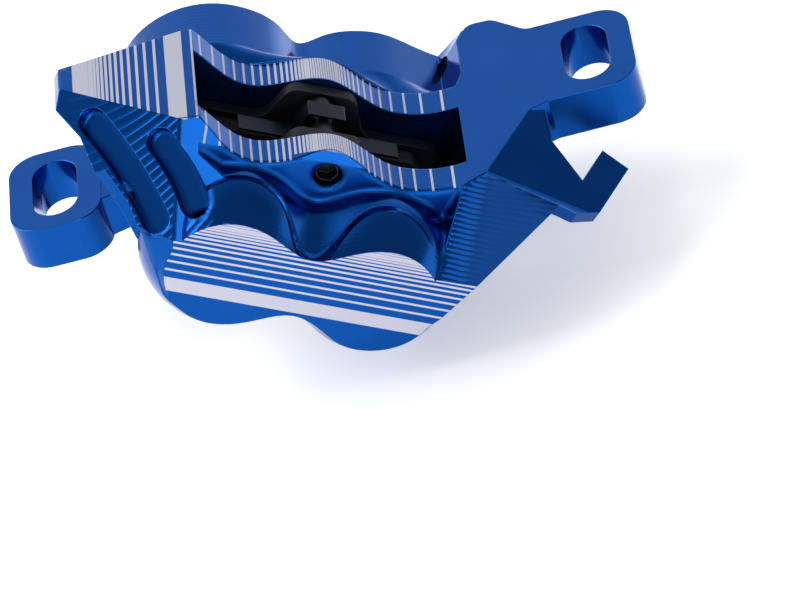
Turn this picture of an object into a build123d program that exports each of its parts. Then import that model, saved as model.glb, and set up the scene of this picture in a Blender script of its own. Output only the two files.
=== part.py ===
from build123d import *
from math import cos, radians, sin
import os

os.makedirs("parts", exist_ok=True)

# Four-piston post-mount bicycle brake caliper, its body machined from one block.
# Row frame: the origin is midway between the two mounting slots, on the flat underside of the ears.
# +X runs to the ear beside the hook, +Y runs along the pistons towards the screwed-in bore caps,
# +Z runs along the mounting bolts, out of the ears' tops.
# The body is tilted about Y. Its own directions are u, along the row of pistons, and w, across it.
# The outer half is at the lobed outer face, on the -Y side, and the inner half carries the bore caps.

# mounting ears
mount_pitch = 74.2
slot_width = 6.3
slot_length = 11.8
ear_thickness = 6.6
ear_reach = 6.4
ear_half_depth = 8.45
ear_corner = 4.2
seat_relief = 0.1
left_neck_front = -4.2
left_neck_back = 6.0
left_neck_root_x = -22.0

# body
tilt = 30.8
body_x = -5.3
body_z = 3.45
outer_face_y = -30.7
disc_plane_y = -10.9
pad_gap = 12.3
outer_wall = 4.85
inner_wall = 4.6
cap_face_y = 12.6
outer_lobe_r = 8.3
outer_barrel_r = 11.4
outer_barrel_length = 7.2
outer_barrel_valley = 7.7
outer_waist_r = 10.3
outer_waist_y = -27.6
outer_lobe_valley = 4.7
inner_barrel_r = 12.7
inner_barrel_valley = 8.6
inner_blend = 3.5

# window over the pads
window_left = -17.7
window_right = 19.3
window_left_top = 16.1
wave_valley = 12.3
wave_hump = 15.5
wave_left_valley_u = -9.2
wave_hump_u = 0.8
wave_right_valley_u = 11.0

# ends of the body
tip_u = -35.0
tip_top = 11.8
tip_height = 2.2
heel_u = -31.5
heel_w = 8.4
shin_u = -24.0
shin_w = 0.6
left_foot_u = -17.0
right_foot_u = 16.0
foot_w = -8.6
shoulder_x = 30.2
root_x = 16.0
root_top_x = 19.0
root_foot_top = 2.0
root_drop = 5.0
root_corner = 2.0
boss_foot_u = 19.3
boss_foot_w = 10.8
slope_turn_y = 10.0

# disc that turns in the slot
disc_r = 90.0
disc_clearance = 1.5
disc_slot = 4.4
disc_centre_w = -81.0

# pistons and what seals them
bore_d = 16.0
bore_pitch = 20.1
piston_clearance = 0.03
outer_bore_floor = 2.5
chamber = 1.9
piston_proud = 0.3
piston_cup_d = 10.4
piston_cup_depth = 7.2
piston_lead_in = 0.5
seal_depth = 1.6
seal_fit = 0.02
pressure_seal_width = 2.0
pressure_seal_setback = 4.2
dust_seal_width = 1.4
dust_seal_setback = 1.2

# screwed-in bore caps
cap_d = 19.0
cap_thickness = 4.6
cap_fit = 0.03
cap_ring_width = 1.5
cap_ring_depth = 1.0
cap_ring_setback = 0.8
cap_chamfer = 0.5
cap_well_d = 11.0
cap_well_depth = 1.4
cap_key_d = 2.2
cap_key_pitch = 14.6
cap_key_depth = 2.4

# pads
pad_side_gap = 0.3
pad_plate = 1.8
pad_lining = 2.6
pad_bottom = -8.4
pad_shoulder = 8.8
pad_tab_width = 9.0
pad_tab_top = 14.4
pad_corner = 2.2
lining_setback = 2.2
lining_bottom = -7.6
lining_top = 7.8
lining_groove = 1.2
lining_groove_depth = 1.4
pad_stroke = 1.2

# pin through the pads, its hole through the outer wall and blind in the inner one
pin_u = 0.65
pin_w = 12.2
pin_d = 3.8
pin_fit = 0.05
pad_hole_fit = 0.25
pin_sink = 0.9
pin_end_gap = 0.2
pin_hole_floor = 0.8
pin_hex = 2.5
pin_hex_depth = 1.6
pin_tip_chamfer = 0.4

# leaf spring between the pads
spring_thickness = 0.3
spring_half_length = 11.0
spring_width = 3.0
spring_gap = 0.4
spring_leg_w = 10.2

# bleed screw under the left inner bore, and its rubber cap
bleed_boss_d = 9.6
bleed_boss_height = 3.4
bleed_thread_d = 6.0
bleed_fit = 0.03
bleed_seat = 5.0
bleed_drill_d = 1.6
bleed_hex = 7.0
bleed_hex_length = 3.0
bleed_lift = 0.8
bleed_stem_d = 4.6
bleed_stem = 5.6
rubber_cap_wall = 0.9
rubber_cap_fit = 0.06
rubber_cap_length = 5.0

# hose port in the boss beside the right ear
port_y = 9.2
port_w = 11.2
port_boss_d = 9.0
port_thread_d = 6.0
port_thread_depth = 7.5
port_drill_d = 3.4
port_left_u = 19.3
port_boss_left_u = 21.3
port_right_u = 31.5
port_cross_d = 1.6
port_cross_u = 22.6
port_spot_d = 7.0
port_spot_reach = 5.0
plug_length = 2.2
plug_sink = 0.6
plug_fit = 0.03
plug_hex = 1.5

# hook plate on the right flank, measured along its own plane
hook_thickness = 2.4
hook_root = 4.6
hook_throat = 11.4
hook_notch = 8.8
hook_reach = 15.0
hook_inner = 11.15
hook_outer = 15.4
hook_heel = 2.8
hook_chamfer = 2.4
hook_neck = 3.2
hook_inset = 1.35

# pockets milled down the left flank, centre lines as start, middle and end along the flank's plane
pocket_lines = (((3.3, -3.2), (8.5, -7.1), (14.8, -13.5)), ((12.9, -3.6), (16.2, -6.4), (19.2, -10.3)))
pocket_width = 3.8
pocket_depth = 2.6

# worked out from the sizes above
c = cos(radians(tilt))
s = sin(radians(tilt))
window_right_top = (ear_thickness - body_z + window_right * s) / c
window_front_y = disc_plane_y - pad_gap / 2
window_back_y = disc_plane_y + pad_gap / 2
rib_front_y = window_front_y - outer_wall
rib_back_y = window_back_y + inner_wall
cap_seat_y = cap_face_y - cap_thickness
piston_us = {"left": -bore_pitch / 2, "right": bore_pitch / 2}
piston_spots = [(u, 0) for u in piston_us.values()]
bore_r = bore_d / 2
piston_r = bore_r - piston_clearance
window_mid = (window_left + window_right) / 2
chamber_y = cap_seat_y - chamber / 2
pin_floor_y = rib_back_y - pin_hole_floor
through = 200.0


def facing(y):
    """Plane across the pistons at this y, seen from the outer face: u to the right, w up."""
    return Plane(origin=(body_x, y, body_z), x_dir=(c, 0, -s), z_dir=(0, -1, 0))


def in_row(u, y, w):
    """A point given along the body's own directions, in the row frame."""
    return (body_x + u * c + w * s, y, body_z - u * s + w * c)


def in_body(x, z):
    """A point of the row frame, as (u, w) in the body's own directions."""
    return ((x - body_x) * c - (z - body_z) * s, (x - body_x) * s + (z - body_z) * c)


def below(u, y, w):
    """Plane under the body at this w, its normal along -w."""
    return Plane(origin=in_row(u, y, w), x_dir=(c, 0, -s), z_dir=(-s, 0, -c))


def across(u, y, w):
    """Plane across the row of pistons at this u, its normal along +u."""
    return Plane(origin=in_row(u, y, w), x_dir=(0, 1, 0), z_dir=(c, 0, -s))


def arc_of(u, r, first, last, steps):
    """Points on a circle of radius r about a piston's place u, by angle from +u."""
    angles = [radians(first + (last - first) * k / steps) for k in range(steps + 1)]
    return [(u + r * cos(a), r * sin(a)) for a in angles]


def lobes(r, valley):
    """Points round a two-lobed outline about the pistons, its valleys this far from their row."""
    right = arc_of(bore_pitch / 2, r, -120, 120, 6)
    left = arc_of(-bore_pitch / 2, r, 60, 300, 6)
    return right + [(0, valley)] + left + [(0, -valley)]


def outward(p, q, r):
    """Plane through three points, x from the first to the second, its normal out of the body."""
    a, b, d = Vector(*p), Vector(*q), Vector(*r)
    normal = (b - a).cross(d - a).normalized()
    middle = Vector(*in_row(window_mid, disc_plane_y, 0))
    if normal.dot(middle - a) > 0:
        normal = normal * -1
    return Plane(origin=a, x_dir=b - a, z_dir=normal)


# ---------------------------------------------------------------- caliper body
ear_x = mount_pitch / 2
shoulder = in_body(shoulder_x, ear_thickness)
shoulder_foot = in_body(shoulder_x, 0)

# planes that trim the corners of the block, each through three points of its faces
left_front = outward(in_row(-33.0, -14.0, 12.3), in_row(-19.0, -20.4, 15.8), in_row(-16.4, -30.7, 5.4))
left_back = outward(in_row(-33.0, -7.8, 12.3), in_row(-19.0, -0.4, 15.8), in_row(-20.0, 4.0, 4.0))
left_low = outward(in_row(-17.9, outer_face_y, 1.6), in_row(-16.6, outer_face_y, -5.0), in_row(-22.4, -28.4, 3.2))
flank_top = (21.1, -20.7, ear_thickness)
right_front = outward(flank_top, in_row(20.4, -30.7, 5.3), (31.0, -22.8, -1.5))
right_side = outward(flank_top, (26.3, -12.5, ear_thickness), (31.2, -22.8, -1.5))

# a drill from the port's passage down to the chamber behind the right inner piston
cross_start = Vector(*in_row(port_cross_u, port_y, port_w))
cross_end = Vector(*in_row(piston_us["right"] + bore_r * 0.6, chamber_y, bore_r * 0.6))
cross_drill = Plane(origin=cross_start, z_dir=cross_end - cross_start)
bleed_face_w = -inner_barrel_r - bleed_boss_height

with BuildPart() as caliper_body:
    # walls beside the pads and the two ends that join them, one side profile along Y
    with BuildSketch(facing(rib_back_y)):
        with BuildLine():
            Line((tip_u, tip_top), (window_left, window_left_top))
            Spline(
                (window_left, window_left_top),
                (wave_left_valley_u, wave_valley),
                (wave_hump_u, wave_hump),
                (wave_right_valley_u, wave_valley),
                (window_right, window_right_top),
                tangents=[(1, -0.5), (1, 0), (1, 0), (1, 0), (1, 0.75)],
            )
            Polyline(
                (window_right, window_right_top),
                shoulder,
                shoulder_foot,
                (right_foot_u, foot_w),
                (left_foot_u, foot_w),
                (shin_u, shin_w),
                (heel_u, heel_w),
                (tip_u, tip_top - tip_height),
                (tip_u, tip_top),
            )
        make_face()
    extrude(amount=rib_back_y - rib_front_y)

    # left and right flanks, the stock between the outer wall and the lobed outer face
    with BuildSketch(facing(rib_front_y)):
        with BuildLine():
            Polyline(
                (tip_u, tip_top),
                (window_left, window_left_top),
                (-17.0, 12.6),
                (-13.0, 10.8),
                (-11.0, 8.0),
                (-11.0, -7.0),
                (-14.5, -7.0),
                (-17.4, -5.3),
                (-22.1, 2.4),
                (-24.5, 4.9),
                (heel_u, heel_w),
                (tip_u, tip_top - tip_height),
                (tip_u, tip_top),
            )
        make_face()
        with BuildLine():
            Polyline(
                (window_right, window_right_top),
                shoulder,
                shoulder_foot,
                (22.4, 5.4),
                (19.2, -1.0),
                (16.2, -5.0),
                (14.0, -5.0),
                (16.6, 4.0),
                (18.6, window_right_top),
                (window_right, window_right_top),
            )
        make_face()
    extrude(amount=rib_front_y - outer_face_y)
    split(bisect_by=left_front, keep=Keep.BOTTOM)
    split(bisect_by=left_back, keep=Keep.BOTTOM)
    split(bisect_by=left_low, keep=Keep.BOTTOM)
    split(bisect_by=right_front, keep=Keep.BOTTOM)
    split(bisect_by=right_side, keep=Keep.BOTTOM)

    # outer barrels, drawn in to the lobed outer face
    with BuildSketch(facing(window_front_y)):
        with BuildLine():
            Spline(*lobes(outer_barrel_r, outer_barrel_valley), periodic=True)
        make_face()
    extrude(amount=outer_barrel_length)
    for y, r, valley in (
        (window_front_y - outer_barrel_length, outer_barrel_r, outer_barrel_valley),
        (outer_waist_y, outer_waist_r, (outer_barrel_valley + outer_lobe_valley) / 2),
        (outer_face_y, outer_lobe_r, outer_lobe_valley),
    ):
        with BuildSketch(facing(y)):
            with BuildLine():
                Spline(*lobes(r, valley), periodic=True)
            make_face()
    loft()

    # inner barrels: their lower half plain, their upper half blended up into the inner wall
    with BuildSketch(facing(cap_face_y)):
        with BuildLine():
            Spline(*lobes(inner_barrel_r, inner_barrel_valley), periodic=True)
        make_face()
        Rectangle(through, through, align=(Align.CENTER, Align.MAX), mode=Mode.INTERSECT)
    extrude(amount=cap_face_y - window_back_y)
    barrel_edge = bore_pitch / 2 + inner_barrel_r
    for y in (rib_back_y, rib_back_y + inner_blend):
        at_wall = y == rib_back_y
        top = [(-18.8, 15.8), (wave_left_valley_u, wave_valley), (wave_hump_u, wave_hump)]
        top += [(wave_right_valley_u, wave_valley), (window_right, window_right_top)]
        if not at_wall:
            top = arc_of(-bore_pitch / 2, inner_barrel_r, 170, 55, 5) + [(0, inner_barrel_valley)]
            top += arc_of(bore_pitch / 2, inner_barrel_r, 125, 70, 3) + [(boss_foot_u, boss_foot_w)]
        with BuildSketch(facing(y)):
            with BuildLine():
                Spline(*top)
                Polyline(top[-1], (barrel_edge, 0), (-barrel_edge, 0), top[0])
            make_face()
    loft()
    with BuildSketch(facing(cap_face_y)):
        with BuildLine():
            Spline(*top)
            Polyline(top[-1], (barrel_edge, 0), (-barrel_edge, 0), top[0])
        make_face()
    extrude(amount=cap_face_y - rib_back_y - inner_blend)

    # ears, the left one on its neck and the right one on a wide root
    with BuildSketch(Plane.XY):
        with Locations((-ear_x, 0), (ear_x, 0)):
            RectangleRounded(2 * ear_reach, 2 * ear_half_depth, ear_corner)
    extrude(amount=ear_thickness)
    with BuildSketch(Plane.XY.offset(seat_relief)):
        with BuildLine():
            Polyline(
                (-ear_x, -ear_half_depth + 1.5),
                (-ear_x, ear_half_depth - 1.5),
                (-31.5, left_neck_back),
                (left_neck_root_x, left_neck_back),
                (left_neck_root_x, left_neck_front),
                (-28.5, left_neck_front),
                (-ear_x, -ear_half_depth + 1.5),
            )
        make_face()
    extrude(amount=ear_thickness - 2 * seat_relief)

    # root of the right ear, down into the inner half, level with the ear's top
    with BuildSketch(Plane.XY.offset(ear_thickness)) as root_top:
        with BuildLine():
            Polyline(
                (ear_x, -ear_half_depth),
                (31.0, -ear_half_depth),
                (27.4, -9.8),
                (root_top_x, -9.8),
                (root_top_x, rib_back_y),
                (20.1, 2.6),
                (20.1, 10.0),
                (21.8, 12.8),
                (25.2, 12.6),
                (29.6, ear_half_depth),
                (ear_x, ear_half_depth),
                (ear_x, -ear_half_depth),
            )
        make_face()
        back_corners = root_top.vertices().filter_by_position(Axis.X, 20.0, 30.0)
        fillet(back_corners.filter_by_position(Axis.Y, 2.0, 13.0), root_corner)
    extrude(amount=-ear_thickness)

    with BuildSketch(Plane.XY.offset(root_foot_top)) as root_foot:
        with BuildLine():
            Polyline(
                (root_x, -4.0),
                (29.4, -8.8),
                (29.4, 8.9),
                (25.8, 12.7),
                (21.8, 13.0),
                (root_x, 6.6),
                (root_x, -4.0),
            )
        make_face()
        fillet(root_foot.vertices().group_by(Axis.Y)[-1] + root_foot.vertices().group_by(Axis.Y)[-2], root_corner)
    extrude(amount=-root_foot_top - root_drop)

    # slope from the right inner barrel up to the top of the root
    slope_back = [(17.5, 9.0), (boss_foot_u, boss_foot_w), (21.2, 15.6), (24.0, 17.3), (24.0, 9.0), (17.5, 9.0)]
    slope_front = [(17.5, 9.0), (boss_foot_u, boss_foot_w), (20.2, 15.7), (24.0, 17.9), (24.0, 9.0), (17.5, 9.0)]
    for y, outline in ((cap_face_y, slope_back), (slope_turn_y, slope_front)):
        with BuildSketch(facing(y)):
            with BuildLine():
                Polyline(*outline)
            make_face()
    loft(ruled=True)
    with BuildSketch(facing(slope_turn_y)):
        with BuildLine():
            Polyline(*slope_front)
        make_face()
    extrude(amount=slope_turn_y - rib_back_y)

    # bosses for the hose port and the bleed screw
    with BuildSketch(across(port_boss_left_u, port_y, port_w)):
        Circle(port_boss_d / 2)
    extrude(amount=port_right_u - port_boss_left_u)
    with BuildSketch(below(piston_us["left"], chamber_y, -bore_r - 2)):
        Circle(bleed_boss_d / 2)
    extrude(amount=-bore_r - 2 - bleed_face_w)

    # hook plate, in the right flank's own plane
    with BuildSketch(right_side):
        with BuildLine():
            Polyline(
                (hook_throat, -hook_root),
                (hook_notch, -hook_inner),
                (hook_reach, -hook_inner),
                (hook_reach, -hook_outer),
                (hook_notch - hook_heel, -hook_outer),
                (hook_notch - hook_heel - hook_chamfer, -hook_outer + hook_chamfer),
                (hook_neck, -hook_inner),
                (hook_inset, -hook_root),
                (hook_throat, -hook_root),
            )
        make_face()
    extrude(amount=-hook_thickness)

    # window for the pads, right through, and the slot that the disc turns in
    with BuildSketch(facing(window_back_y)):
        with Locations((window_mid, 0)):
            Rectangle(window_right - window_left, through)
    extrude(amount=pad_gap, mode=Mode.SUBTRACT)
    with BuildSketch(facing(disc_plane_y + disc_slot / 2)):
        with Locations((0, disc_centre_w)):
            Circle(disc_r + disc_clearance)
    extrude(amount=disc_slot, mode=Mode.SUBTRACT)

    # outer bores stop short of the outer face, inner bores run out into the threaded cap seats
    with BuildSketch(facing(cap_face_y)):
        with Locations(*piston_spots):
            Circle(bore_r)
    extrude(amount=cap_face_y - outer_face_y - outer_bore_floor, mode=Mode.SUBTRACT)
    with BuildSketch(facing(cap_face_y)):
        with Locations(*piston_spots):
            Circle(cap_d / 2)
    extrude(amount=cap_thickness, mode=Mode.SUBTRACT)

    # grooves for the dust seal and the pressure seal in every bore
    for wall_y, side in ((window_front_y, 1), (window_back_y, -1)):
        for setback, width in (
            (dust_seal_setback, dust_seal_width),
            (pressure_seal_setback, pressure_seal_width),
        ):
            with BuildSketch(facing(wall_y - side * setback)):
                with Locations(*piston_spots):
                    Circle(bore_r + seal_depth)
            extrude(amount=side * width, mode=Mode.SUBTRACT)

    # mounting slots and the pad pin's hole
    with BuildSketch(Plane.XY):
        with Locations((-ear_x, 0), (ear_x, 0)):
            SlotOverall(slot_length, slot_width, rotation=90)
    extrude(amount=ear_thickness, mode=Mode.SUBTRACT)
    with BuildSketch(facing(pin_floor_y)):
        with Locations((pin_u, pin_w)):
            Circle(pin_d / 2 + pin_fit)
    extrude(amount=pin_floor_y - rib_front_y, mode=Mode.SUBTRACT)

    # hose port from the right end of its boss, the drill past it, and the cross drill to the bore
    with BuildSketch(across(port_right_u, port_y, port_w)):
        Circle(port_thread_d / 2)
    extrude(amount=-port_thread_depth, mode=Mode.SUBTRACT)
    with BuildSketch(across(port_right_u, port_y, port_w)):
        Circle(port_spot_d / 2)
    extrude(amount=port_spot_reach, mode=Mode.SUBTRACT)
    with BuildSketch(across(port_right_u, port_y, port_w)):
        Circle(port_drill_d / 2)
    extrude(amount=port_left_u - port_right_u, mode=Mode.SUBTRACT)
    with BuildSketch(cross_drill):
        Circle(port_cross_d / 2)
    extrude(amount=(cross_end - cross_start).length, mode=Mode.SUBTRACT)

    # bleed screw's thread up to its seat, and the drill on into the chamber behind the left inner piston
    with BuildSketch(below(piston_us["left"], chamber_y, bleed_face_w)):
        Circle(bleed_thread_d / 2)
    extrude(amount=-bleed_seat, mode=Mode.SUBTRACT)
    with BuildSketch(below(piston_us["left"], chamber_y, bleed_face_w)):
        Circle(bleed_drill_d / 2)
    extrude(amount=bleed_face_w + bore_r - 1, mode=Mode.SUBTRACT)

    # two long pockets milled down the left flank
    for start, middle, end in pocket_lines:
        with BuildSketch(left_front):
            SlotArc(Edge.make_three_point_arc(start, middle, end), pocket_width)
        extrude(amount=-pocket_depth, mode=Mode.SUBTRACT)

caliper_body.part.label = "caliper_body"
export_step(caliper_body.part, "parts/caliper_body.step")

# ---------------------------------------------------------------- pistons, seals and bore caps
# each half's wall, the way into the bore from it, and the far end of the piston's chamber
halves = {"outer": (window_front_y, 1, outer_face_y + outer_bore_floor), "inner": (window_back_y, -1, cap_seat_y)}
for half, (wall_y, side, floor_y) in halves.items():
    for hand, u in piston_us.items():
        front_y = wall_y + side * piston_proud
        length = abs(floor_y - wall_y) + piston_proud - chamber
        with BuildPart() as piston:
            with BuildSketch(facing(front_y)):
                with Locations((u, 0)):
                    Circle(piston_r)
            extrude(amount=side * length)
            chamfer(piston.edges().filter_by(GeomType.CIRCLE), piston_lead_in)
            with BuildSketch(facing(front_y)):
                with Locations((u, 0)):
                    Circle(piston_cup_d / 2)
            extrude(amount=side * piston_cup_depth, mode=Mode.SUBTRACT)
        piston.part.label = half + "_" + hand + "_piston"
        export_step(piston.part, "parts/" + half + "_" + hand + "_piston.step")

        for kind, setback, width in (
            ("dust_seal", dust_seal_setback, dust_seal_width),
            ("pressure_seal", pressure_seal_setback, pressure_seal_width),
        ):
            with BuildPart() as seal:
                with BuildSketch(facing(wall_y - side * (setback + seal_fit))):
                    with Locations((u, 0)):
                        Circle(bore_r + seal_depth - seal_fit)
                        Circle(bore_r, mode=Mode.SUBTRACT)
                extrude(amount=side * (width - 2 * seal_fit))
            seal.part.label = half + "_" + hand + "_" + kind
            export_step(seal.part, "parts/" + half + "_" + hand + "_" + kind + ".step")

for hand, u in piston_us.items():
    with BuildPart() as bore_cap:
        with BuildSketch(facing(cap_face_y)):
            with Locations((u, 0)):
                Circle(cap_d / 2 - cap_fit)
        extrude(amount=cap_thickness)
        chamfer(bore_cap.edges().filter_by(GeomType.CIRCLE), cap_chamfer)
        with BuildSketch(facing(cap_seat_y + cap_ring_setback + cap_ring_width)):
            with Locations((u, 0)):
                Circle(cap_d / 2)
                Circle(cap_d / 2 - cap_ring_depth, mode=Mode.SUBTRACT)
        extrude(amount=cap_ring_width, mode=Mode.SUBTRACT)
        with BuildSketch(facing(cap_face_y)):
            with Locations((u, 0)):
                Circle(cap_well_d / 2)
        extrude(amount=cap_well_depth, mode=Mode.SUBTRACT)
        with BuildSketch(facing(cap_face_y)):
            with Locations((u - cap_key_pitch / 2, 0), (u + cap_key_pitch / 2, 0)):
                Circle(cap_key_d / 2)
        extrude(amount=cap_key_depth, mode=Mode.SUBTRACT)
    bore_cap.part.label = hand + "_bore_cap"
    export_step(bore_cap.part, "parts/" + hand + "_bore_cap.step")

    with BuildPart() as cap_ring:
        with BuildSketch(facing(cap_seat_y + cap_ring_setback + cap_ring_width - seal_fit)):
            with Locations((u, 0)):
                Circle(cap_d / 2 - seal_fit)
                Circle(cap_d / 2 - cap_ring_depth + seal_fit, mode=Mode.SUBTRACT)
        extrude(amount=cap_ring_width - 2 * seal_fit)
    cap_ring.part.label = hand + "_cap_o_ring"
    export_step(cap_ring.part, "parts/" + hand + "_cap_o_ring.step")

# ---------------------------------------------------------------- pads
pad_left = window_left + pad_side_gap
pad_right = window_right - pad_side_gap
for half, (wall_y, side, floor_y) in halves.items():
    back_y = wall_y + side * piston_proud
    plate_y = back_y + side * pad_plate
    with BuildPart() as pad_backing_plate:
        with BuildSketch(facing(plate_y)) as plate_face:
            with BuildLine():
                Polyline(
                    (pad_left, pad_bottom),
                    (pad_left, pad_shoulder),
                    (pin_u - pad_tab_width / 2 - 2.5, pad_shoulder),
                    (pin_u - pad_tab_width / 2, pad_tab_top),
                    (pin_u + pad_tab_width / 2, pad_tab_top),
                    (pin_u + pad_tab_width / 2 + 2.5, pad_shoulder),
                    (pad_right, pad_shoulder),
                    (pad_right, pad_bottom),
                    (pad_left, pad_bottom),
                )
            make_face()
            fillet(plate_face.vertices(), pad_corner)
            with Locations((pin_u, pin_w)):
                Circle(pin_d / 2 + pad_hole_fit, mode=Mode.SUBTRACT)
        extrude(amount=side * pad_plate)
    pad_backing_plate.part.label = half + "_pad_backing_plate"
    export_step(pad_backing_plate.part, "parts/" + half + "_pad_backing_plate.step")

    with BuildPart() as pad_lining_block:
        with BuildSketch(facing(plate_y)) as lining_face:
            with Locations((window_mid, (lining_bottom + lining_top) / 2)):
                Rectangle(pad_right - pad_left - 2 * lining_setback, lining_top - lining_bottom)
            chamfer(lining_face.vertices(), pad_corner)
        extrude(amount=-side * pad_lining)
        with BuildSketch(facing(plate_y + side * pad_lining)):
            with Locations((window_mid, 0)):
                Rectangle(lining_groove, through)
        extrude(amount=side * lining_groove_depth, mode=Mode.SUBTRACT)
    pad_lining_block.part.label = half + "_pad_lining"
    export_step(pad_lining_block.part, "parts/" + half + "_pad_lining.step")

# ---------------------------------------------------------------- pad pin and the leaf spring
pin_end_y = pin_floor_y - pin_end_gap
pin_start_y = rib_front_y + pin_sink
with BuildPart() as pad_pin:
    with BuildSketch(facing(pin_end_y)):
        with Locations((pin_u, pin_w)):
            Circle(pin_d / 2)
    extrude(amount=pin_end_y - pin_start_y)
    chamfer(pad_pin.edges().filter_by(GeomType.CIRCLE), pin_tip_chamfer)
    with BuildSketch(facing(pin_start_y)):
        with Locations((pin_u, pin_w)):
            RegularPolygon(pin_hex / 2, 6, major_radius=False)
    extrude(amount=-pin_hex_depth, mode=Mode.SUBTRACT)
pad_pin.part.label = "pad_pin"
export_step(pad_pin.part, "parts/pad_pin.step")

# the spring hangs from the pin, a saddle over it and two leaves that lie just above the linings
spring_top_w = pin_w + pin_d / 2 + spring_gap
with BuildPart() as pad_spring:
    with BuildSketch(facing(disc_plane_y + spring_width / 2)) as spring_side:
        with BuildLine() as leaf:
            Polyline(
                (pin_u - spring_half_length, spring_leg_w),
                (pin_u - pin_d, spring_leg_w),
                (pin_u - pin_d / 2 - spring_gap, spring_top_w),
                (pin_u + pin_d / 2 + spring_gap, spring_top_w),
                (pin_u + pin_d, spring_leg_w),
                (pin_u + spring_half_length, spring_leg_w),
            )
            offset(amount=spring_thickness, side=Side.LEFT)
        make_face()
    extrude(amount=spring_width)
pad_spring.part.label = "pad_spring"
export_step(pad_spring.part, "parts/pad_spring.step")

# ---------------------------------------------------------------- bleed screw, its rubber cap and the passage plug
bleed_u = piston_us["left"]
with BuildPart() as bleed_screw:
    with BuildSketch(below(bleed_u, chamber_y, bleed_face_w + bleed_seat - bleed_lift)):
        Circle(bleed_thread_d / 2 - bleed_fit)
    extrude(amount=bleed_seat)
    with BuildSketch(below(bleed_u, chamber_y, bleed_face_w - bleed_lift)):
        RegularPolygon(bleed_hex / 2, 6, major_radius=False)
    extrude(amount=bleed_hex_length)
    with BuildSketch(below(bleed_u, chamber_y, bleed_face_w - bleed_lift - bleed_hex_length)):
        Circle(bleed_stem_d / 2)
    extrude(amount=bleed_stem)
    chamfer(bleed_screw.faces().sort_by(Axis(in_row(0, 0, 0), (-s, 0, -c)))[-1].edges(), piston_lead_in)
bleed_screw.part.label = "bleed_screw"
export_step(bleed_screw.part, "parts/bleed_screw.step")

stem_end_w = bleed_face_w - bleed_lift - bleed_hex_length - bleed_stem
with BuildPart() as bleed_rubber_cap:
    with BuildSketch(below(bleed_u, chamber_y, stem_end_w + rubber_cap_length)):
        Circle(bleed_stem_d / 2 + rubber_cap_wall)
    extrude(amount=rubber_cap_length + rubber_cap_fit + rubber_cap_wall)
    with BuildSketch(below(bleed_u, chamber_y, stem_end_w + rubber_cap_length)):
        Circle(bleed_stem_d / 2 + rubber_cap_fit)
    extrude(amount=rubber_cap_length + rubber_cap_fit, mode=Mode.SUBTRACT)
bleed_rubber_cap.part.label = "bleed_rubber_cap"
export_step(bleed_rubber_cap.part, "parts/bleed_rubber_cap.step")

with BuildPart() as passage_plug:
    with BuildSketch(across(port_left_u + plug_sink, port_y, port_w)):
        Circle(port_drill_d / 2 - plug_fit)
        RegularPolygon(plug_hex / 2, 6, major_radius=False, mode=Mode.SUBTRACT)
    extrude(amount=plug_length)
    with BuildSketch(across(port_left_u + plug_sink + plug_length / 2, port_y, port_w)):
        Circle(port_drill_d / 2 - plug_fit)
    extrude(amount=plug_length / 2)
passage_plug.part.label = "passage_plug"
export_step(passage_plug.part, "parts/passage_plug.step")
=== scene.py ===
import bpy
from math import cos, radians, sin
from mathutils import Matrix, Vector


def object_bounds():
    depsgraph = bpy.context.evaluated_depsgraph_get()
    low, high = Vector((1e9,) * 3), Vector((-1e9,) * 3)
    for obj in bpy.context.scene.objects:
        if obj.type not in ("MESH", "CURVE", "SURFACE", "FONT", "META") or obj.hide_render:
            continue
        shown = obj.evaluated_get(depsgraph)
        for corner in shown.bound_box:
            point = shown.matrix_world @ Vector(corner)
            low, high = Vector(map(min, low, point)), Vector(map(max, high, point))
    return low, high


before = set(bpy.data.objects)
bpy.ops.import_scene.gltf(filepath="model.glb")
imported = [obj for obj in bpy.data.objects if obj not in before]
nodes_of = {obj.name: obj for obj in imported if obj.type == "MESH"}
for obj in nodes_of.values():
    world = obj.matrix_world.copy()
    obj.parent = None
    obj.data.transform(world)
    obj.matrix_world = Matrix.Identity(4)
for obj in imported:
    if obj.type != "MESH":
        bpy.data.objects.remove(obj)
cad_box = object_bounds()
scene = bpy.context.scene

# ---------------------------------------------------------------- camera
# A long lens looks down on the lobed outer face from a little to the hook's side, rolled so that
# the ears rise to the right.
AZIMUTH = radians(6.88)
ELEVATION = radians(38.45)
ROLL = radians(-18.43)
DISTANCE = 0.6748
LOOK_AT = Vector((0.0040, -0.0132, -0.0177))

towards = Vector((-sin(AZIMUTH) * cos(ELEVATION), cos(AZIMUTH) * cos(ELEVATION), -sin(ELEVATION)))
camera_data = bpy.data.cameras.new("camera")
camera_data.lens = 223.9
camera_data.sensor_width = 36
camera_data.clip_start = 0.01
camera = bpy.data.objects.new("camera", camera_data)
camera.rotation_mode = "QUATERNION"
turn = towards.to_track_quat("-Z", "Y").to_matrix() @ Matrix.Rotation(ROLL, 3, "Z")
camera.rotation_quaternion = turn.to_quaternion()
camera.location = LOOK_AT - towards * DISTANCE
scene.collection.objects.link(camera)
scene.camera = camera


# ---------------------------------------------------------------- studio
# White paper in a bright tent that darkens towards the upper right front, so that the bright metal
# has something dark to mirror. A big soft box hangs over the left, a small one stands low in front.
def soft_box(name, place, aim, size, energy):
    """An area light of this size in metres, at a place and turned towards another."""
    light = bpy.data.lights.new(name, "AREA")
    light.shape = "RECTANGLE"
    light.size, light.size_y = size
    light.energy = energy
    box = bpy.data.objects.new(name, light)
    box.location = place
    box.rotation_euler = (Vector(place) - Vector(aim)).to_track_quat("Z", "Y").to_euler()
    scene.collection.objects.link(box)


soft_box("left_box", (-0.60, 0.16, 0.62), (0, 0, 0), (0.80, 0.80), 6.0)
soft_box("front_box", (0.10, -0.75, 0.20), (0, -0.01, 0), (0.30, 0.12), 1.0)

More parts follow.
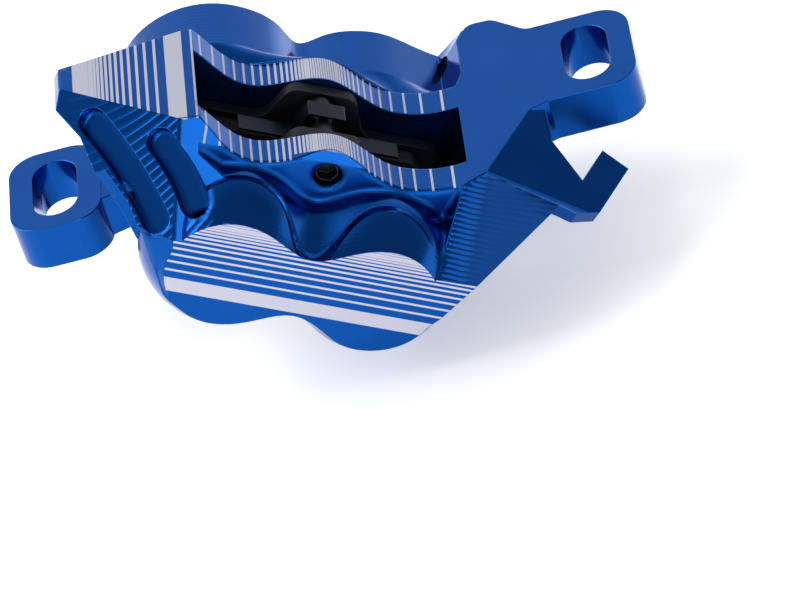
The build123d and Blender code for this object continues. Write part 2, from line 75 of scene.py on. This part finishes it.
TOWARDS_DARK = (0.60, -0.50, 0.62)
TENT_WHITE = (0.95, 0.97, 1.0, 1)
TENT_GREY = (0.29, 0.30, 0.33, 1)
world = bpy.data.worlds.new("tent")
world.use_nodes = True
scene.world = world
sky = world.node_tree
sky.nodes.clear()
sky_out = sky.nodes.new("ShaderNodeOutputWorld")
sky_light = sky.nodes.new("ShaderNodeBackground")
sky_way = sky.nodes.new("ShaderNodeTexCoord")
sky_dot = sky.nodes.new("ShaderNodeVectorMath")
sky_dot.operation = "DOT_PRODUCT"
sky_dot.inputs[1].default_value = TOWARDS_DARK
sky_ramp = sky.nodes.new("ShaderNodeValToRGB")
bright_end, dark_end = sky_ramp.color_ramp.elements
bright_end.position = 0.10
bright_end.color = TENT_WHITE
dark_end.position = 0.70
dark_end.color = TENT_GREY
sky_light.inputs["Strength"].default_value = 1.0
sky.links.new(sky_way.outputs["Generated"], sky_dot.inputs[0])
sky.links.new(sky_dot.outputs["Value"], sky_ramp.inputs["Fac"])
sky.links.new(sky_ramp.outputs["Color"], sky_light.inputs["Color"])
sky.links.new(sky_light.outputs["Background"], sky_out.inputs["Surface"])
scene.view_settings.view_transform = "Standard"

PAPER_REACH = 2.5
floor_mesh = bpy.data.meshes.new("floor")
lowest = cad_box[0][2]
corner_signs = ((-1, -1), (1, -1), (1, 1), (-1, 1))
corners = [(PAPER_REACH * x, PAPER_REACH * y, lowest) for x, y in corner_signs]
floor_mesh.from_pydata(corners, [], [(0, 1, 2, 3)])
floor = bpy.data.objects.new("floor", floor_mesh)
scene.collection.objects.link(floor)
paper = bpy.data.materials.new("white_paper")
paper.use_nodes = True
paper_shader = paper.node_tree.nodes["Principled BSDF"]
paper_shader.inputs["Base Color"].default_value = (0.93, 0.93, 0.93, 1)
paper_shader.inputs["Roughness"].default_value = 0.9
paper_shader.inputs["Emission Color"].default_value = (1, 1, 1, 1)
paper_shader.inputs["Emission Strength"].default_value = 0.42
floor_mesh.materials.append(paper)


# ---------------------------------------------------------------- caliper body
# One block of aluminium, milled all over with ball cutters and faces cut flat, then anodised a
# bright blue. Lines are burnt through the blue by laser, down to pale bare metal.

# The body's own directions are u, falling to the right, and w, square to it, both in millimetres from
# the middle between the bores; y is the frame's.
MM = 1000
TILT = radians(30.8)
BODY_X = -5.3
BODY_Z = 3.45
OUTER_FACE_Y = -30.7
RIB_FRONT_Y = -21.9
WINDOW_FRONT_Y = -17.05
WINDOW_BACK_Y = -4.75
RIB_BACK_Y = -0.15
WINDOW_LEFT_U = -17.7
LEFT_TOP_W = 16.0
LEFT_TOP_SLOPE = 0.2486


def value(tree, operation, *terms):
    """A maths node; each term is a number or a socket. Gives its output."""
    node = tree.nodes.new("ShaderNodeMath")
    node.operation = operation
    for place, term in enumerate(terms):
        if isinstance(term, (int, float)):
            node.inputs[place].default_value = term
        else:
            tree.links.new(term, node.inputs[place])
    return node.outputs[0]


def times(tree, first, *others):
    """The product of two or more terms."""
    for other in others:
        first = value(tree, "MULTIPLY", first, other)
    return first


def most(tree, first, *others):
    """The largest of two or more terms."""
    for other in others:
        first = value(tree, "MAXIMUM", first, other)
    return first


def between(tree, term, low, high, soft=0.02):
    """1 where the term lies from low to high, with a soft step at each end."""
    rise = ramp(tree, term, low - soft, low + soft)
    fall = ramp(tree, term, high + soft, high - soft)
    return value(tree, "MULTIPLY", rise, fall)


def ramp(tree, term, zero_at, one_at):
    """A term turned into 0 to 1 as it goes from one number to another."""
    node = tree.nodes.new("ShaderNodeMapRange")
    node.interpolation_type = "SMOOTHSTEP"
    node.inputs["From Min"].default_value = min(zero_at, one_at)
    node.inputs["From Max"].default_value = max(zero_at, one_at)
    if zero_at > one_at:
        node.inputs["To Min"].default_value = 1
        node.inputs["To Max"].default_value = 0
    tree.links.new(term, node.inputs["Value"])
    return node.outputs["Result"]


def noise(tree, scale, detail, vector=None):
    """Noise at this many waves to the metre."""
    node = tree.nodes.new("ShaderNodeTexNoise")
    node.inputs["Scale"].default_value = scale
    node.inputs["Detail"].default_value = detail
    if vector is None:
        vector = tree.nodes.new("ShaderNodeTexCoord").outputs["Object"]
    tree.links.new(vector, node.inputs["Vector"])
    return node.outputs["Fac"]


def new_group(name, takes, gives):
    """An empty node group; takes and gives list its sockets, (name, kind, value)."""
    tree = bpy.data.node_groups.new(name, "ShaderNodeTree")
    for side, sockets in (("INPUT", takes), ("OUTPUT", gives)):
        for label, kind, start in sockets:
            socket = tree.interface.new_socket(label, in_out=side, socket_type="NodeSocket" + kind)
            if start is not None:
                socket.default_value = start
    return tree, tree.nodes.new("NodeGroupInput").outputs, tree.nodes.new("NodeGroupOutput").inputs


def place_group(tree, group, **values):
    """A node group put in a material; underscores in the value names stand for spaces."""
    node = tree.nodes.new("ShaderNodeGroup")
    node.node_tree = group
    for label, term in values.items():
        socket = node.inputs[label.replace("_", " ")]
        if isinstance(term, (int, float)):
            socket.default_value = term
        else:
            tree.links.new(term, socket)
    return node.outputs


def mixed(tree, share, first, second):
    """One colour changing to another; each is a colour or a socket."""
    node = tree.nodes.new("ShaderNodeMix")
    node.data_type = "RGBA"
    for label, term in (("Factor", share), ("A", first), ("B", second)):
        socket = node.inputs[label]
        if isinstance(term, (tuple, float, int)):
            socket.default_value = term
        else:
            tree.links.new(term, socket)
    return node.outputs["Result"]


def new_material(name, base, metallic, roughness):
    """A material with one plain Principled shader; gives the material, its tree and the shader."""
    material = bpy.data.materials.new(name)
    material.use_nodes = True
    tree = material.node_tree
    shader = tree.nodes["Principled BSDF"]
    shader.inputs["Base Color"].default_value = (*base, 1)
    shader.inputs["Metallic"].default_value = metallic
    shader.inputs["Roughness"].default_value = roughness
    return material, tree, shader


def dress(names, material):
    """Puts one material on every slot of the named CAD nodes."""
    for name in names:
        mesh = nodes_of[name].data
        mesh.materials.clear()
        mesh.materials.append(material)


# where a point is along the body's own directions, in millimetres
directions = [(label, "Float", None) for label in ("u", "y", "w")]
body_place, _, gives = new_group("body_place", (), directions)
here = body_place.nodes.new("ShaderNodeSeparateXYZ")
body_place.links.new(body_place.nodes.new("ShaderNodeTexCoord").outputs["Object"], here.inputs[0])
across_x = value(body_place, "SUBTRACT", value(body_place, "MULTIPLY", here.outputs["X"], MM), BODY_X)
up_z = value(body_place, "SUBTRACT", value(body_place, "MULTIPLY", here.outputs["Z"], MM), BODY_Z)
for label, share_x, share_z in (("u", cos(TILT), -sin(TILT)), ("w", sin(TILT), cos(TILT))):
    part_x = value(body_place, "MULTIPLY", across_x, share_x)
    body_place.links.new(value(body_place, "MULTIPLY_ADD", up_z, share_z, part_x), gives[label])
body_place.links.new(value(body_place, "MULTIPLY", here.outputs["Y"], MM), gives["y"])

# laser lines whose spacing grows from one to the next, all in millimetres
LINE_BLUR = 0.035
growing_lines, takes, gives = new_group(
    "growing_lines",
    [
        ("Along", "Float", 0.0),
        ("First gap", "Float", 0.3),
        ("Growth", "Float", 1.15),
        ("Half width", "Float", 0.17),
    ],
    [("Lines", "Float", None)],
)
grown = value(growing_lines, "SUBTRACT", takes["Growth"], 1)
grown = value(growing_lines, "MULTIPLY", takes["Along"], grown)
grown = value(growing_lines, "DIVIDE", grown, takes["First gap"])
grown = value(growing_lines, "MAXIMUM", value(growing_lines, "ADD", grown, 1), 0.01)
count = value(growing_lines, "LOGARITHM", grown, takes["Growth"])
off_line = value(growing_lines, "SUBTRACT", count, value(growing_lines, "ROUND", count))
off_line = value(growing_lines, "ABSOLUTE", off_line)
gap = value(growing_lines, "POWER", takes["Growth"], count)
gap = value(growing_lines, "MULTIPLY", takes["First gap"], gap)
off_line = value(growing_lines, "MULTIPLY", off_line, gap)
edge = value(growing_lines, "SUBTRACT", takes["Half width"], off_line)
growing_lines.links.new(ramp(growing_lines, edge, -LINE_BLUR, LINE_BLUR), gives["Lines"])


def laser_lines(tree, along, first_gap, growth, half_width):
    """A mask of growing lines that start where along is 0."""
    sizes = {"First_gap": first_gap, "Growth": growth, "Half_width": half_width}
    return place_group(tree, growing_lines, Along=along, **sizes)["Lines"]


# edges broken by deburring: a rounded normal, and a mask of where the rounding is
broken_edges, takes, gives = new_group(
    "broken_edges",
    [("Radius", "Float", 0.00025)],
    [("Normal", "Vector", None), ("Edge", "Float", None)],
)
rounding = broken_edges.nodes.new("ShaderNodeBevel")
rounding.samples = 8
broken_edges.links.new(takes["Radius"], rounding.inputs["Radius"])
turned = broken_edges.nodes.new("ShaderNodeVectorMath")
turned.operation = "DOT_PRODUCT"
flat_way = broken_edges.nodes.new("ShaderNodeNewGeometry")
broken_edges.links.new(rounding.outputs["Normal"], turned.inputs[0])
broken_edges.links.new(flat_way.outputs["Normal"], turned.inputs[1])
broken_edges.links.new(rounding.outputs["Normal"], gives["Normal"])
broken_edges.links.new(ramp(broken_edges, turned.outputs["Value"], 0.995, 0.90), gives["Edge"])

# rows of shallow scoops left by a ball cutter stepping over, in millimetres of depth
cutter_rows, takes, gives = new_group(
    "cutter_rows",
    [
        ("Along", "Float", 0.0),
        ("Pitch", "Float", 0.9),
        ("Depth", "Float", 0.1),
        ("Waver", "Float", 0.1),
    ],
    [("Height", "Float", None)],
)
waver = value(cutter_rows, "SUBTRACT", noise(cutter_rows, 260, 1.0), 0.5)
waver = value(cutter_rows, "MULTIPLY", waver, takes["Waver"])
step = value(cutter_rows, "DIVIDE", value(cutter_rows, "ADD", takes["Along"], waver), takes["Pitch"])
scoop = value(cutter_rows, "SUBTRACT", value(cutter_rows, "FRACT", step), 0.5)
scoop = value(cutter_rows, "MULTIPLY", value(cutter_rows, "MULTIPLY", scoop, scoop), 4)
cutter_rows.links.new(value(cutter_rows, "MULTIPLY", scoop, takes["Depth"]), gives["Height"])


def scoops(tree, along, pitch, depth, waver):
    """The height of a ball cutter's rows, one every pitch."""
    sizes = {"Pitch": pitch, "Depth": depth, "Waver": waver}
    return place_group(tree, cutter_rows, Along=along, **sizes)["Height"]


body_blue, tree, shader = new_material("anodised_body", (0.014, 0.095, 0.40), 1.0, 0.2)
at = place_group(tree, body_place)
facing = tree.nodes.new("ShaderNodeSeparateXYZ")
surface = tree.nodes.new("ShaderNodeNewGeometry")
tree.links.new(surface.outputs["Normal"], facing.inputs[0])
to_w = value(tree, "MULTIPLY", facing.outputs["X"], sin(TILT))
to_w = value(tree, "MULTIPLY_ADD", facing.outputs["Z"], cos(TILT), to_w)

# laser lines along the row on the outer face, ending in one broad band
on_face = ramp(tree, at["y"], OUTER_FACE_Y + 0.12, OUTER_FACE_Y + 0.04)
on_face = times(tree, on_face, ramp(tree, facing.outputs["Y"], -0.95, -0.99))
face_lines = laser_lines(tree, value(tree, "SUBTRACT", 7.50, at["w"]), 0.344, 1.147, 0.18)
face_lines = times(tree, face_lines, between(tree, at["w"], -1.2, 7.7))
face_top = laser_lines(tree, value(tree, "SUBTRACT", 8.6, at["w"]), 0.33, 1.02, 0.14)
face_top = times(tree, face_top, ramp(tree, at["w"], 7.55, 7.65))
face_band = between(tree, at["w"], -4.15, -2.0, 0.03)
face_marks = times(tree, most(tree, face_lines, face_top, face_band), on_face)

# laser lines along Y on the left end's top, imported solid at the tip
on_top = times(tree, between(tree, at["u"], -33.3, WINDOW_LEFT_U), ramp(tree, to_w, 0.55, 0.75))
above_end = value(tree, "SUBTRACT", at["u"], WINDOW_LEFT_U)
above_end = value(tree, "MULTIPLY_ADD", above_end, -LEFT_TOP_SLOPE, at["w"])
on_top = times(tree, on_top, ramp(tree, above_end, LEFT_TOP_W, LEFT_TOP_W + 0.06))
on_top = times(tree, on_top, ramp(tree, at["y"], RIB_BACK_Y + 0.02, RIB_BACK_Y - 0.02))
top_lines = laser_lines(tree, value(tree, "ADD", at["u"], 31.16), 0.3345, 1.128, 0.19)
top_lines = times(tree, top_lines, ramp(tree, at["u"], -31.3, -31.2))
top_lines = times(tree, top_lines, ramp(tree, at["u"], -22.0, -22.1))
top_block = ramp(tree, at["u"], -31.2, -31.3)
top_band = between(tree, at["u"], -21.4, -19.1, 0.03)
top_last = between(tree, at["u"], -17.98, -17.70, 0.03)
top_marks = times(tree, most(tree, top_lines, top_block, top_band, top_last), on_top)

# laser ticks across both walls' tops, spreading out from the hump over the pin
on_near = between(tree, at["y"], RIB_FRONT_Y - 0.03, WINDOW_FRONT_Y + 0.2)
on_far = between(tree, at["y"], WINDOW_BACK_Y - 0.2, RIB_BACK_Y)
on_walls = times(tree, most(tree, on_near, on_far), between(tree, at["u"], WINDOW_LEFT_U, 18.2))
hump_front = times(tree, between(tree, at["u"], -4.6, 5.6, 0.1), ramp(tree, at["y"], -20.7, -20.9))
on_walls = times(tree, on_walls, value(tree, "SUBTRACT", 1, hump_front))
on_ridge = times(tree, ramp(tree, to_w, 0.62, 0.70), ramp(tree, at["w"], 11.8, 12.0))
on_walls = times(tree, on_walls, on_ridge)
left_ticks = laser_lines(tree, value(tree, "SUBTRACT", -1.52, at["u"]), 0.301, 1.137, 0.16)
left_ticks = times(tree, left_ticks, ramp(tree, at["u"], -1.4, -1.5))
right_ticks = laser_lines(tree, value(tree, "SUBTRACT", at["u"], 2.50), 0.351, 1.182, 0.16)
right_ticks = times(tree, right_ticks, ramp(tree, at["u"], 2.3, 2.4))
hump_ticks = laser_lines(tree, value(tree, "ADD", at["u"], 6.0), 0.30, 1.004, 0.13)
hump_ticks = times(tree, hump_ticks, between(tree, at["u"], -1.5, 2.4, 0.05))
wall_marks = times(tree, most(tree, left_ticks, right_ticks, hump_ticks), on_walls)

marks = most(tree, face_marks, top_marks, wall_marks)
marks = times(tree, marks, ramp(tree, noise(tree, 9000, 2.0), 0.12, 0.30))

# rows left by a ball cutter stepping down the left flank, but not inside its two pockets
def through(one, two, three):
    """The plane through three points in body directions, in mm: its outward normal and its offset."""
    places = []
    for u, y, w in (one, two, three):
        x = BODY_X + u * cos(TILT) + w * sin(TILT)
        z = BODY_Z - u * sin(TILT) + w * cos(TILT)
        places.append(Vector((x, y, z)))
    first, second, third = places
    normal = (second - first).cross(third - first).normalized()
    if normal.y > 0:
        normal = -normal
    return normal, normal.dot(first)


def measured(tree, direction):
    """How far a point lies along a direction, in millimetres."""
    node = tree.nodes.new("ShaderNodeVectorMath")
    node.operation = "DOT_PRODUCT"
    node.inputs[1].default_value = direction * MM
    tree.links.new(tree.nodes.new("ShaderNodeTexCoord").outputs["Object"], node.inputs[0])
    return node.outputs["Value"]


LEFT_CORNERS = ((-33.0, -14.0, 12.3), (-19.0, -20.4, 15.8), (-16.4, -30.7, 5.4))
LEFT_STROKE_LEAN = 0.31
LEFT_ROW_BOW = 0.16
left_normal, left_offset = through(*LEFT_CORNERS)
left_depth = value(tree, "SUBTRACT", left_offset, measured(tree, left_normal))
stroke = Vector((1, LEFT_STROKE_LEAN, 0))
stroke.z = -(left_normal.x + LEFT_STROKE_LEAN * left_normal.y) / left_normal.z
bow = times(tree, value(tree, "ADD", at["u"], 20), LEFT_ROW_BOW)
bow = times(tree, bow, bow)
down_left = value(tree, "SUBTRACT", measured(tree, left_normal.cross(stroke).normalized()), bow)
left_flank = times(tree, ramp(tree, left_depth, 0.30, 0.10), ramp(tree, left_depth, -0.4, -0.2))
left_flank = times(tree, left_flank, ramp(tree, at["u"], -11.5, -12.5))
left_flank = times(tree, left_flank, ramp(tree, facing.outputs["Y"], -0.25, -0.35))
flank_rows = times(tree, scoops(tree, down_left, 1.0, 0.055, 0.12), left_flank)

# the right flank rolls over from its top edge, and its upper strip is cut in short deep strokes
RIGHT_NORMAL = Vector((0.3281, -0.7362, 0.5919))
RIGHT_OFFSET = 26.07
RIGHT_TOP = Vector((21.1, -20.7, 6.6))
RIGHT_FOOT = Vector((14.95, -30.7, -2.44))
RIGHT_STROKE = Vector((1, 0, -0.554))
RIGHT_ROLL_WIDTH = 4.6
right_depth = value(tree, "SUBTRACT", RIGHT_OFFSET, measured(tree, RIGHT_NORMAL))
right_across = RIGHT_NORMAL.cross(RIGHT_TOP - RIGHT_FOOT).normalized()
into_flank = value(tree, "SUBTRACT", measured(tree, right_across), right_across.dot(RIGHT_TOP))
right_flank = times(tree, ramp(tree, right_depth, 0.30, 0.10), ramp(tree, right_depth, -0.4, -0.2))
right_flank = times(tree, right_flank, ramp(tree, facing.outputs["Z"], 0.2, 0.3))
rolled = value(tree, "SUBTRACT", into_flank, RIGHT_ROLL_WIDTH)
rolled = times(tree, rolled, rolled, -0.075)
down_right = measured(tree, RIGHT_NORMAL.cross(RIGHT_STROKE).normalized())
ragged = value(tree, "MULTIPLY_ADD", noise(tree, 900, 1.0), 1.6, into_flank)
right_rows = times(tree, scoops(tree, down_right, 0.70, 0.15, 0.14), ramp(tree, ragged, 4.2, 3.2))
right_rows = times(tree, value(tree, "ADD", right_rows, rolled), right_flank)

# finer rows over the lobes and behind the left end
lobe_band = times(tree, between(tree, at["y"], -30.6, -28.3, 0.2), ramp(tree, to_w, 0.2, 0.4))
lobe_band = times(tree, lobe_band, between(tree, at["u"], -16.0, 18.0, 0.5))
lobe_rows = times(tree, scoops(tree, at["y"], 0.48, 0.02, 0.05), lobe_band)
far_band = times(tree, ramp(tree, at["u"], -10.0, -14.0), between(tree, at["y"], 2.0, 12.5, 0.6))
far_band = times(tree, far_band, ramp(tree, at["w"], 8.0, 9.0))
far_rows = times(tree, scoops(tree, at["y"], 0.72, 0.012, 0.04), far_band)
fine = value(tree, "MULTIPLY", noise(tree, 6000, 3.0), 0.0015)
height = value(tree, "ADD", value(tree, "ADD", flank_rows, lobe_rows), value(tree, "ADD", far_rows, fine))
height = value(tree, "ADD", height, right_rows)
height = value(tree, "MULTIPLY_ADD", marks, -0.006, height)

# the hollow between the near wall and the lobes, and the pockets, flow into each other
hollow = times(tree, between(tree, at["y"], -30.2, -21.3, 0.3), between(tree, at["u"], -16.5, 20.0, 1.0))
pockets = times(tree, between(tree, left_depth, 0.3, 3.4, 0.1), ramp(tree, at["u"], -11.5, -12.5))
flowing = most(tree, hollow, pockets)
reach_round = value(tree, "MULTIPLY_ADD", flowing, 0.0011, 0.00028)
edges = place_group(tree, broken_edges, Radius=reach_round)
relief = tree.nodes.new("ShaderNodeBump")
relief.inputs["Distance"].default_value = 0.001
tree.links.new(height, relief.inputs["Height"])
tree.links.new(edges["Normal"], relief.inputs["Normal"])
tree.links.new(relief.outputs["Normal"], shader.inputs["Normal"])

level_top = ramp(tree, facing.outputs["Z"], 0.97, 0.99)
square_front = ramp(tree, facing.outputs["Y"], -0.97, -0.99)
flat_cut = most(tree, level_top, square_front, on_top)
patch = noise(tree, 140, 2.0)
rough = value(tree, "MULTIPLY_ADD", flat_cut, 0.14, value(tree, "MULTIPLY_ADD", patch, 0.08, 0.13))
rough = value(tree, "MULTIPLY_ADD", marks, 0.22, rough)
tree.links.new(rough, shader.inputs["Roughness"])
blue = mixed(tree, patch, (0.0035, 0.064, 0.30, 1), (0.006, 0.082, 0.36, 1))
# painted highlight with a little wear: the broken edges are painted a lighter blue, less so in the hollow
# and pockets
edge_wear_and_highlight = value(tree, "MULTIPLY", edges["Edge"], value(tree, "MULTIPLY_ADD", flowing, -0.35, 0.35))
blue = mixed(tree, edge_wear_and_highlight, blue, (0.03, 0.17, 0.52, 1))
blue = mixed(tree, marks, blue, (0.56, 0.56, 0.66, 1))
tree.links.new(blue, shader.inputs["Base Color"])
tree.links.new(value(tree, "MULTIPLY_ADD", marks, -0.75, 1.0), shader.inputs["Metallic"])
dress(["caliper_body"], body_blue)

# ---------------------------------------------------------------- bore caps
# Two aluminium plugs turned on a lathe, with a well and two key holes, anodised a shade darker and
# screwed into the inner bores.
FULL_TURN = 6.2832
BORES = (("left", -10.05), ("right", 10.05))
turned_lines, takes, gives = new_group(
    "turned_lines",
    [("Centre u", "Float", 0.0), ("Pitch", "Float", 0.12)],
    [("Height", "Float", None)],
)
spot = place_group(turned_lines, body_place)
off_u = value(turned_lines, "SUBTRACT", spot["u"], takes["Centre u"])
radius = value(turned_lines, "MULTIPLY", off_u, off_u)
radius = value(turned_lines, "SQRT", value(turned_lines, "MULTIPLY_ADD", spot["w"], spot["w"], radius))
waves = value(turned_lines, "MULTIPLY", radius, FULL_TURN)
waves = value(turned_lines, "SINE", value(turned_lines, "DIVIDE", waves, takes["Pitch"]))
waves = value(turned_lines, "MULTIPLY_ADD", noise(turned_lines, 5000, 2.0), 0.6, waves)
turned_lines.links.new(waves, gives["Height"])


def bumped(tree, shader, height, depth, under=None):
    """Feeds the shader's normal from a height, depth in metres for a height of 1."""
    bump = tree.nodes.new("ShaderNodeBump")
    bump.inputs["Distance"].default_value = depth
    tree.links.new(height, bump.inputs["Height"])
    if under is not None:
        tree.links.new(under, bump.inputs["Normal"])
    tree.links.new(bump.outputs["Normal"], shader.inputs["Normal"])


for hand, centre in BORES:
    cap_blue, tree, shader = new_material("anodised_cap_" + hand, (0.010, 0.07, 0.32), 1.0, 0.24)
    rings = place_group(tree, turned_lines, Centre_u=centre, Pitch=0.16)["Height"]
    edges = place_group(tree, broken_edges, Radius=0.0002)
    bumped(tree, shader, rings, 0.0000012, edges["Normal"])
    tone = noise(tree, 200, 2.0)
    shade = mixed(tree, tone, (0.007, 0.052, 0.25, 1), (0.011, 0.068, 0.31, 1))
    # painted highlight, partly rubbing: the broken edges are painted a lighter blue
    edge_rub_and_highlight = value(tree, "MULTIPLY", edges["Edge"], 0.5)
    tree.links.new(mixed(tree, edge_rub_and_highlight, shade, (0.05, 0.20, 0.58, 1)), shader.inputs["Base Color"])
    tree.links.new(value(tree, "MULTIPLY_ADD", tone, 0.12, 0.18), shader.inputs["Roughness"])
    dress([hand + "_bore_cap"], cap_blue)

# ---------------------------------------------------------------- pistons
# Four cups turned from stainless steel, ground on the outside. The open end presses on the pad.
for hand, centre in BORES:
    steel, tree, shader = new_material("piston_steel_" + hand, (0.55, 0.54, 0.52), 1.0, 0.25)
    rings = place_group(tree, turned_lines, Centre_u=centre, Pitch=0.14)["Height"]
    edges = place_group(tree, broken_edges, Radius=0.00015)
    bumped(tree, shader, rings, 0.000002, edges["Normal"])
    smear = noise(tree, 350, 3.0)
    grey = mixed(tree, smear, (0.48, 0.47, 0.46, 1), (0.60, 0.59, 0.57, 1))
    tree.links.new(grey, shader.inputs["Base Color"])
    tree.links.new(value(tree, "MULTIPLY_ADD", smear, 0.18, 0.16), shader.inputs["Roughness"])
    dress(["outer_" + hand + "_piston", "inner_" + hand + "_piston"], steel)

# ---------------------------------------------------------------- seals and O-rings
# Square-cut rings of black brake-fluid rubber in the bores' grooves, and an O-ring under each cap.
seal_rubber, tree, shader = new_material("seal_rubber", (0.012, 0.012, 0.013), 0.0, 0.5)
bloom = noise(tree, 900, 4.0)
black = mixed(tree, bloom, (0.009, 0.009, 0.010, 1), (0.020, 0.020, 0.021, 1))
tree.links.new(black, shader.inputs["Base Color"])
tree.links.new(value(tree, "MULTIPLY_ADD", bloom, 0.2, 0.42), shader.inputs["Roughness"])
bumped(tree, shader, noise(tree, 9000, 2.0), 0.000004)
places = [half + "_" + hand for half in ("outer", "inner") for hand in ("left", "right")]
seals = [place + kind for place in places for kind in ("_dust_seal", "_pressure_seal")]
dress(seals + ["left_cap_o_ring", "right_cap_o_ring"], seal_rubber)

# ---------------------------------------------------------------- pad backing plates
# Stamped steel plates, coated a satin black, with the small grains of the powder coat in the gloss.
pad_plate, tree, shader = new_material("pad_plate", (0.018, 0.018, 0.020), 0.0, 0.5)
grains = noise(tree, 4200, 3.0)
wear = noise(tree, 260, 3.0)
edges = place_group(tree, broken_edges, Radius=0.00025)
scuffed = value(tree, "MULTIPLY", edges["Edge"], ramp(tree, wear, 0.45, 0.62))
coat = mixed(tree, scuffed, (0.005, 0.006, 0.009, 1), (0.05, 0.05, 0.05, 1))
tree.links.new(coat, shader.inputs["Base Color"])
tree.links.new(value(tree, "MULTIPLY_ADD", wear, 0.2, 0.45), shader.inputs["Roughness"])
shader.inputs["Specular IOR Level"].default_value = 0.25
bumped(tree, shader, grains, 0.000012, edges["Normal"])
dress(["outer_pad_backing_plate", "inner_pad_backing_plate"], pad_plate)

# ---------------------------------------------------------------- pad linings
# Pressed friction material bonded to the plates: dark resin full of metal chips and fibres.
pad_lining, tree, shader = new_material("pad_lining", (0.04, 0.037, 0.033), 0.0, 0.85)
chips = tree.nodes.new("ShaderNodeTexVoronoi")
chips.inputs["Scale"].default_value = 2600
tree.links.new(tree.nodes.new("ShaderNodeTexCoord").outputs["Object"], chips.inputs["Vector"])
metal = ramp(tree, chips.outputs["Distance"], 0.24, 0.12)
resin = mixed(tree, noise(tree, 1500, 4.0), (0.008, 0.008, 0.009, 1), (0.024, 0.022, 0.021, 1))
tree.links.new(mixed(tree, metal, resin, (0.12, 0.09, 0.06, 1)), shader.inputs["Base Color"])
tree.links.new(value(tree, "MULTIPLY", metal, 0.8), shader.inputs["Metallic"])
tree.links.new(value(tree, "MULTIPLY_ADD", metal, -0.4, 0.85), shader.inputs["Roughness"])
bumped(tree, shader, noise(tree, 2600, 4.0), 0.00006)
dress(["outer_pad_lining", "inner_pad_lining"], pad_lining)

# ---------------------------------------------------------------- pad pin
# A turned steel pin with a hexagon socket, blackened, its head sunk in the near wall.
pin_steel, tree, shader = new_material("pin_steel", (0.03, 0.034, 0.045), 0.9, 0.3)
at = place_group(tree, body_place)
edges = place_group(tree, broken_edges, Radius=0.00012)
turns = value(tree, "MULTIPLY_ADD", noise(tree, 3000, 2.0), 1.5, value(tree, "MULTIPLY", at["y"], 48))
turns = value(tree, "SINE", turns)
oxide = noise(tree, 700, 3.0)
blackened = mixed(tree, oxide, (0.020, 0.023, 0.032, 1), (0.045, 0.050, 0.064, 1))
tree.links.new(blackened, shader.inputs["Base Color"])
tree.links.new(value(tree, "MULTIPLY_ADD", oxide, 0.2, 0.22), shader.inputs["Roughness"])
bumped(tree, shader, turns, 0.000002, edges["Normal"])
dress(["pad_pin"], pin_steel)

# ---------------------------------------------------------------- pad spring
# A leaf bent from thin spring steel, tempered dark, with the fine scratches of rolling along it.
spring_steel, tree, shader = new_material("spring_steel", (0.05, 0.055, 0.07), 1.0, 0.35)
at = place_group(tree, body_place)
edges = place_group(tree, broken_edges, Radius=0.00008)
grain = value(tree, "MULTIPLY_ADD", noise(tree, 1200, 3.0), 3.0, value(tree, "MULTIPLY", at["y"], 90))
grain = value(tree, "SINE", grain)
temper = noise(tree, 180, 3.0)
tempered = mixed(tree, temper, (0.008, 0.011, 0.020, 1), (0.022, 0.026, 0.038, 1))
tree.links.new(tempered, shader.inputs["Base Color"])
tree.links.new(value(tree, "MULTIPLY_ADD", grain, 0.05, 0.33), shader.inputs["Roughness"])
bumped(tree, shader, grain, 0.000001, edges["Normal"])
dress(["pad_spring"], spring_steel)

# ---------------------------------------------------------------- bleed screw and passage plug
# A stainless screw that seats on a cone at the end of its drilling, and a small socket plug, its
# thread locked with compound, that closes the drilling from the hose port.
bleed_metal, tree, shader = new_material("bleed_metal", (0.50, 0.49, 0.47), 1.0, 0.28)
edges = place_group(tree, broken_edges, Radius=0.00015)
smear = noise(tree, 600, 3.0)
bright = mixed(tree, smear, (0.42, 0.41, 0.40, 1), (0.56, 0.55, 0.53, 1))
tree.links.new(bright, shader.inputs["Base Color"])
tree.links.new(value(tree, "MULTIPLY_ADD", smear, 0.2, 0.18), shader.inputs["Roughness"])
bumped(tree, shader, noise(tree, 7000, 3.0), 0.000003, edges["Normal"])
dress(["bleed_screw"], bleed_metal)

plug_steel, tree, shader = new_material("plug_steel", (0.02, 0.024, 0.035), 0.9, 0.35)
edges = place_group(tree, broken_edges, Radius=0.0001)
oxide = noise(tree, 1200, 3.0)
blackened = mixed(tree, oxide, (0.012, 0.016, 0.028, 1), (0.035, 0.040, 0.055, 1))
tree.links.new(blackened, shader.inputs["Base Color"])
tree.links.new(value(tree, "MULTIPLY_ADD", oxide, 0.25, 0.25), shader.inputs["Roughness"])
bumped(tree, shader, noise(tree, 6000, 2.0), 0.000003, edges["Normal"])
dress(["passage_plug"], plug_steel)

# ---------------------------------------------------------------- bleed rubber cap
# A moulded black cap pushed over the bleed screw's nipple, dull, with dust in its pores.
cap_rubber, tree, shader = new_material("cap_rubber", (0.02, 0.02, 0.021), 0.0, 0.6)
edges = place_group(tree, broken_edges, Radius=0.0004)
dust = noise(tree, 500, 4.0)
dusty = ramp(tree, dust, 0.50, 0.75)
dull_black = mixed(tree, dusty, (0.014, 0.014, 0.015, 1), (0.045, 0.044, 0.042, 1))
tree.links.new(dull_black, shader.inputs["Base Color"])
tree.links.new(value(tree, "MULTIPLY_ADD", dust, 0.25, 0.48), shader.inputs["Roughness"])
bumped(tree, shader, noise(tree, 5000, 3.0), 0.00001, edges["Normal"])
dress(["bleed_rubber_cap"], cap_rubber)
